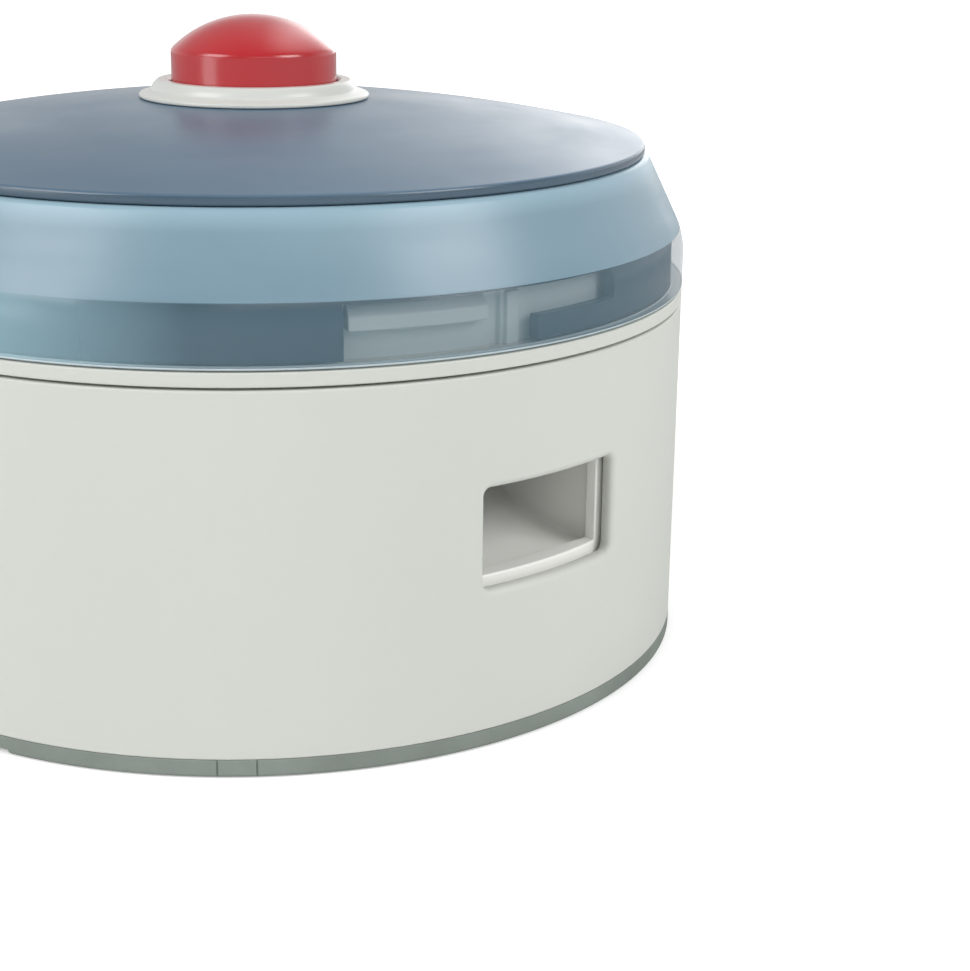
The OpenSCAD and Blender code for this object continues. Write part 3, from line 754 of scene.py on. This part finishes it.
@dataclass
class Lid:
    """Top plate, seal and the button's bezel, guard and nut."""

    wall_radius: float = 78.6
    edge_radius: float = 81.2
    apex: float = 113.0
    edge: float = 104.4
    edge_bottom: float = 102.55
    lip: float = 102.4
    thickness: float = 2.4
    hole: float = 21.1
    loops: int = 40
    plug_wall: float = 2.1
    plug_bottom: float = 81.0
    seal_low: float = 83.0
    seal_high: float = 85.4
    rib_drop: float = 3.3
    rib_height: float = 1.8
    rib_reach: float = 1.4

    def dome(self, r: float) -> float:
        """Height of the plate's upper face at a radius."""
        rise = self.apex - self.edge
        sphere = (self.edge_radius**2 + rise**2) / (2 * rise)
        return self.apex - sphere + math.sqrt(sphere**2 - r**2)

    def make(self) -> None:
        """Models and dresses the lid's pieces."""
        self.plate()
        dress(softened_node("button_bezel", 0.3), Finish.BEZEL.material())
        dress(softened_node("button_cup", 0.3), Finish.BEZEL.material())
        dress(softened_node("bezel_nut", 0.3), Finish.BEZEL.material())
        dress_node("lid_seal", Finish.SILICONE.material())

    def plate(self) -> None:
        """The domed plate with its rounded edge and the wall that plugs the hopper."""
        r, wall, under = self.edge_radius, self.wall_radius, self.wall_radius - self.plug_wall
        rib, rib_edge, reach = self.lip - self.rib_drop, wall + self.rib_reach, r - 1.2
        rib_low, seal_low, seal_high = rib - self.rib_height, self.seal_low, self.seal_high
        top = [self.hole + (reach - self.hole) * k / self.loops for k in range(self.loops + 1)]
        below = [under - (under - self.hole) * k / self.loops for k in range(self.loops + 1)]
        edge = rounded([
            (reach, self.dome(reach)), (r, self.dome(r) + 0.05, 0.75), (r, self.edge_bottom, 0.5),
            (wall, self.edge_bottom, 0.2), (wall, rib, 0.2), (rib_edge, rib, 0.3), (rib_edge, rib_low, 0.3),
            (wall, rib_low, 0.2), (wall, seal_high, 0.1), (wall - 1, seal_high), (wall - 1, seal_low),
            (wall, seal_low, 0.1), (wall, self.plug_bottom, 0.5), (under, self.plug_bottom, 0.5),
        ])
        underside = [(x, self.dome(x) - self.thickness) for x in below]
        outline = [(x, self.dome(x)) for x in top] + edge[1:] + underside
        plate = spun("lid_plate_piece", outline, 300)
        dress(stand_in(plate, "lid_plate"), Finish.PLATE.material(), Finish.EDGE.material())
        # The edge wall's faces below the rounding get the darker plastic: painted shade under the plate's
        # rim.
        for face in plate.data.polygons:
            edge_shade = face.center.xy.length > (wall - 0.1) * MM and face.center.z < (self.edge - 0.15) * MM
            face.material_index = int(edge_shade)


@dataclass
class LockRing:
    """The band with its skirt, the slotted ring inside it and the ring that keeps it on the plate.

    Attributes:
        clear_outside: Height below which the outside is clear instead of frosted.
        clear_inside: The same height on the inside.
        clear_radius: Radius of the inside at that height.
        edge_highlight_top: Height below which the skirt's lower edge is painted light, a painted highlight.
    """

    radius: float = 90.0
    bottom: float = 75.9
    corner: float = 85.6
    lip_radius: float = 81.8
    lip: float = 102.4
    plate_radius: float = 78.6
    skirt_wall: float = 2.35
    clear_outside: float = 87.0
    clear_inside: float = 86.75
    clear_radius: float = 86.7
    edge_highlight_top: float = 76.35

    def make(self) -> None:
        """Models and dresses the lock ring's pieces."""
        self.band()
        dress(softened_node("bayonet_ring", 0.25), Finish.BAYONET.material())
        dress(softened_node("retaining_ring", 0.3), Finish.RETAINER.material())

    def band(self) -> None:
        """Skirt, rounded corner, sloping band and lip in one outline."""
        r, plate, lip = self.radius, self.plate_radius, self.lip
        outline = rounded([
            (r, self.bottom, 0.45), (r, self.corner, 15.0), (self.lip_radius, lip, 1.5),
            (plate + 0.6, lip, 0.35), (plate + 0.6, lip - 3.0), (plate + 1.75, lip - 3.0),
            (plate + 1.75, lip - 5.2), (plate + 2.95, lip - 5.2), (plate + 2.95, lip - 7.4),
            (plate + 3.4, lip - 7.4),
            (self.clear_radius, self.clear_inside), (r - self.skirt_wall, self.corner - 0.5),
            (r - self.skirt_wall, self.bottom, 0.3),
        ], 6.0)
        band = spun("lock_ring_piece", divided(outline, 2.5), 300)
        finishes = (Finish.BAND, Finish.SKIRT, Finish.SKIRT_INSIDE, Finish.SKIRT_EDGE_HIGHLIGHT)
        dress(stand_in(band, "lock_ring"), *(finish.material() for finish in finishes))
        for face in band.data.polygons:
            outside = face.center.xy.length > (r - self.skirt_wall / 2) * MM
            # The lower edge gets the light copy of the skirt's plastic: a painted highlight.
            if face.center.z < self.edge_highlight_top * MM:
                face.material_index = 3
            elif face.center.z < (self.clear_outside if outside else self.clear_inside) * MM:
                face.material_index = 1 if outside else 2


@dataclass
class Button:
    """Red cap, its stem and the screws between them."""

    radius: float = 17.0
    top: float = 129.0
    dome: float = 7.0
    bottom: float = 110.5
    wall: float = 2.4
    flange: float = 1.4

    def make(self) -> None:
        """Models and dresses the button's pieces."""
        self.cap()
        dress(softened_node("button_stem", 0.25), Finish.BEZEL.material())
        dress(softened_node("button_screws", 0.1, segments=2), Finish.STEEL.material())

    def cap(self) -> None:
        """The domed cap with a soft shoulder."""
        sphere = (self.radius**2 + self.dome**2) / (2 * self.dome)
        shoulder = self.top - self.dome

        def dome(x: float, drop: float = 0.0) -> float:
            """Height of the dome at a radius, less a wall."""
            return self.top - sphere + math.sqrt(max(0.0, (sphere - drop) ** 2 - x**2))

        inner = self.radius - self.wall
        reach = self.radius - 1.0
        up = [reach * math.sin(math.pi / 2 * (1 - k / 16)) for k in range(17)]
        edge, step = self.radius + self.flange, self.bottom + 1.7
        side = rounded([
            (0.0, dome(0.0, self.wall)), (inner, dome(inner, self.wall)), (inner, self.bottom, 0.3),
            (edge, self.bottom, 0.3), (edge, step, 0.4), (self.radius, step, 0.3),
            (self.radius, shoulder, 1.6), (reach, dome(reach)),
        ])
        inside = [inner * math.sin(math.pi / 2 * k / 12) for k in range(1, 12)]
        outline = side[:1] + [(x, dome(x, self.wall)) for x in inside]
        outline += side[1:-1] + [(x, dome(x)) for x in up]
        cap = spun("button_cap_piece", outline, 200, closed=False)
        dress(stand_in(cap, "button_cap"), Finish.BUTTON.material())


# ---- studio ----


@dataclass
class Lamp:
    """A soft box, placed by its direction from the object as the camera sees it.

    Attributes:
        name: The lamp's name.
        turn: Degrees to the right of the camera.
        lift: Degrees above the horizon.
        size: Width of the box, in metres.
        power: Power in watts.
        distance: Distance from the object, in metres.
        height: Height of the box, in metres.
        target: Height above the floor that the box is aimed at, in metres.
    """

    name: str
    turn: float
    lift: float
    size: float
    power: float
    distance: float = 1.3
    height: float = 0.6
    target: float = 0.06

    def make(self, camera_turn: float) -> None:
        """Adds the lamp, aimed at the object."""
        angle, lift = math.radians(camera_turn + self.turn), math.radians(self.lift)
        back = Vector((math.sin(angle) * math.cos(lift), -math.cos(angle) * math.cos(lift), math.sin(lift)))
        data = bpy.data.lights.new(self.name, "AREA")
        data.shape = "RECTANGLE"
        data.size = self.size
        data.size_y = self.height
        data.energy = self.power
        lamp = bpy.data.objects.new(self.name, data)
        bpy.context.scene.collection.objects.link(lamp)
        lamp.location = Vector((0, 0, self.target)) + back * self.distance
        lamp.rotation_euler = back.to_track_quat("Z", "Y").to_euler()


@dataclass
class Studio:
    """Camera, floor, backdrop and lamps.

    Attributes:
        floor_glow: Distances from the object where the floor's glow starts and ends, and the glow at each.
        side_light: The backdrop from left to right: two places and the strength at each.
        window_rise: The same for the left side of the bright window that the backdrop has on the right.
        window_fall: The same for the window's right side.
        ceiling_fade: The backdrop from low to high: two heights and its share at each.
        front_fade: The light from the camera's side from low to high, in the same way.
        front_border: Where the camera's side ends and the backdrop starts.
        plain_light: Strength of the light that isn't mirrored.
    """

    camera_turn: float = -37.25
    camera_distance: float = 0.4202
    camera_height: float = 0.1583
    yaw: float = 6.69
    pitch: float = 17.31
    roll: float = 0.78
    focal_pixels: float = 1983.0
    picture_pixels: float = 971.0
    sensor: float = 36.0
    floor_size: float = 8.0
    floor_drop: float = 0.0002
    floor_white: float = 0.86
    floor_glow: tuple[float, float, float, float] = (0.13, 0.45, 0.38, 0.75)
    side_light: tuple[float, float, float, float] = (-0.15, 0.05, 0.72, 0.98)
    window_rise: tuple[float, float, float, float] = (0.08, 0.30, 0.0, 1.95)
    window_fall: tuple[float, float, float, float] = (0.36, 0.6, 1.0, 0.0)
    ceiling_fade: tuple[float, float, float, float] = (0.24, 0.5, 1.22, 0.7)
    front_fade: tuple[float, float, float, float] = (0.05, 0.2, 1.0, 0.25)
    front_border: tuple[float, float] = (-0.1, 0.35)
    plain_light: float = 0.49
    lamps: tuple[Lamp, ...] = field(default_factory=lambda: (
        Lamp("left_box", -61.0, 34.0, 0.7, 8.4, height=0.7),
        Lamp("left_low", -64.0, 4.0, 0.5, 1.6, height=0.4),
        Lamp("right_box", 55.0, 32.0, 0.6, 7.4),
        Lamp("front_strip", 16.0, 27.0, 1.1, 1.4, height=0.12),
    ))

    def make(self) -> None:
        """Builds the studio."""
        self.camera()
        self.world()
        self.floor()
        for lamp in self.lamps:
            lamp.make(self.camera_turn)
        bpy.context.scene.view_settings.view_transform = "Standard"

    def camera(self) -> None:
        """The camera of the photograph, from its fitted place and turns."""
        yaw, pitch, roll = (math.radians(a) for a in (self.yaw, self.pitch, self.roll))
        ahead = Vector((math.sin(yaw) * math.cos(pitch), math.cos(yaw) * math.cos(pitch), -math.sin(pitch)))
        right = Vector((math.cos(yaw), -math.sin(yaw), 0.0))
        up = right.cross(ahead)
        right_rolled = right * math.cos(roll) + up * math.sin(roll)
        up_rolled = up * math.cos(roll) - right * math.sin(roll)
        turn = Matrix.Rotation(math.radians(self.camera_turn), 4, "Z")
        place = Matrix.Translation((0.0, -self.camera_distance, self.camera_height))
        axes = Matrix((right_rolled, up_rolled, -ahead)).transposed().to_4x4()
        data = bpy.data.cameras.new("camera")
        data.sensor_width = self.sensor
        data.lens = self.focal_pixels * self.sensor / self.picture_pixels
        data.clip_start = 0.01
        camera = bpy.data.objects.new("camera", data)
        bpy.context.scene.collection.objects.link(camera)
        camera.matrix_world = turn @ place @ axes
        bpy.context.scene.camera = camera

    def world(self) -> None:
        """White where it is seen, a bright backdrop where it is mirrored, and dimmer as plain light.

        The backdrop is brightest to the right of the camera's view, and dims towards the ceiling and the
        camera.
        """
        world = bpy.data.worlds.new("studio")
        bpy.context.scene.world = world
        world.use_nodes = True
        tree = world.node_tree
        tree.nodes.clear()
        output = tree.nodes.new("ShaderNodeOutputWorld")
        path = tree.nodes.new("ShaderNodeLightPath")
        place = tree.nodes.new("ShaderNodeTexCoord")
        split = tree.nodes.new("ShaderNodeSeparateXYZ")
        tree.links.new(place.outputs["Generated"], split.inputs["Vector"])

        def span(value: bpy.types.NodeSocket, *numbers: float) -> bpy.types.NodeSocket:
            """Maps a value from the first two numbers to the last two."""
            node = tree.nodes.new("ShaderNodeMapRange")
            for key, number in zip(("From Min", "From Max", "To Min", "To Max"), numbers):
                node.inputs[key].default_value = number
            tree.links.new(value, node.inputs["Value"])
            return node.outputs["Result"]

        def along(degrees: float) -> bpy.types.NodeSocket:
            """How far a direction points to an angle, counted as the camera's turn is."""
            node = tree.nodes.new("ShaderNodeVectorMath")
            node.operation = "DOT_PRODUCT"
            angle = math.radians(degrees)
            node.inputs[1].default_value = (math.sin(angle), -math.cos(angle), 0.0)
            tree.links.new(place.outputs["Generated"], node.inputs[0])
            return node.outputs["Value"]

        def combined(
            operation: str, first: bpy.types.NodeSocket, second: bpy.types.NodeSocket
        ) -> bpy.types.NodeSocket:
            """The result of an operation on two values."""
            node = tree.nodes.new("ShaderNodeMath")
            node.operation = operation
            tree.links.new(first, node.inputs[0])
            tree.links.new(second, node.inputs[1])
            return node.outputs[0]

        right = along(self.camera_turn + 90)
        window = combined("MULTIPLY", span(right, *self.window_rise), span(right, *self.window_fall))
        backdrop = combined("ADD", span(right, *self.side_light), window)
        backdrop = combined("MULTIPLY", backdrop, span(split.outputs["Z"], *self.ceiling_fade))
        behind = span(along(self.camera_turn + 180), *self.front_border, 0.0, 1.0)
        beside = span(along(self.camera_turn + 180), *self.front_border, 1.0, 0.0)
        ahead = span(split.outputs["Z"], *self.front_fade)
        fade = combined("ADD", combined("MULTIPLY", backdrop, behind), combined("MULTIPLY", ahead, beside))
        shown = tree.nodes.new("ShaderNodeBackground")
        mirrored = tree.nodes.new("ShaderNodeBackground")
        plain = tree.nodes.new("ShaderNodeBackground")
        plain.inputs["Strength"].default_value = self.plain_light
        tree.links.new(fade, mirrored.inputs["Strength"])
        for node in (shown, mirrored, plain):
            node.inputs["Color"].default_value = (1.0, 1.0, 1.0, 1.0)
        glossy = tree.nodes.new("ShaderNodeMath")
        glossy.operation = "MAXIMUM"
        tree.links.new(path.outputs["Is Glossy Ray"], glossy.inputs[0])
        tree.links.new(path.outputs["Is Transmission Ray"], glossy.inputs[1])
        inner = tree.nodes.new("ShaderNodeMixShader")
        tree.links.new(glossy.outputs[0], inner.inputs[0])
        tree.links.new(plain.outputs[0], inner.inputs[1])
        tree.links.new(mirrored.outputs[0], inner.inputs[2])
        outer = tree.nodes.new("ShaderNodeMixShader")
        tree.links.new(path.outputs["Is Camera Ray"], outer.inputs[0])
        tree.links.new(inner.outputs[0], outer.inputs[1])
        tree.links.new(shown.outputs[0], outer.inputs[2])
        tree.links.new(outer.outputs[0], output.inputs["Surface"])

    def floor(self) -> None:
        """A white floor that keeps the object's shadow."""
        deselect()
        bpy.ops.mesh.primitive_plane_add(size=self.floor_size, location=(0, 0, -self.floor_drop))
        floor = settle(bpy.context.object, "floor")
        material = bpy.data.materials.new("floor_white")
        material.use_nodes = True
        tree = material.node_tree
        shader = tree.nodes["Principled BSDF"]
        shader.inputs["Base Color"].default_value = (*[self.floor_white] * 3, 1.0)
        shader.inputs["Roughness"].default_value = 0.9
        shader.inputs["Specular IOR Level"].default_value = 0.0
        shader.inputs["Emission Color"].default_value = (1.0, 1.0, 1.0, 1.0)
        place = tree.nodes.new("ShaderNodeTexCoord")
        far = tree.nodes.new("ShaderNodeVectorMath")
        far.operation = "LENGTH"
        tree.links.new(place.outputs["Object"], far.inputs[0])
        fade = tree.nodes.new("ShaderNodeMapRange")
        for key, number in zip(("From Min", "From Max", "To Min", "To Max"), self.floor_glow):
            fade.inputs[key].default_value = number
        tree.links.new(far.outputs["Value"], fade.inputs["Value"])
        path = tree.nodes.new("ShaderNodeLightPath")
        glow = tree.nodes.new("ShaderNodeMath")
        glow.operation = "MULTIPLY"
        tree.links.new(path.outputs["Is Camera Ray"], glow.inputs[0])
        tree.links.new(fade.outputs["Result"], glow.inputs[1])
        tree.links.new(glow.outputs[0], shader.inputs["Emission Strength"])
        dress(floor, material)


def main() -> None:
    logging.basicConfig(level=logging.INFO, format="%(name)s: %(message)s")
    for part in (Studio(), Body(), Outlet(), Hopper(), Drive(), Lid(), LockRing(), Button()):
        part.make()
        LOG.info("%s made", type(part).__name__)


if __name__ == "__main__":
    main()
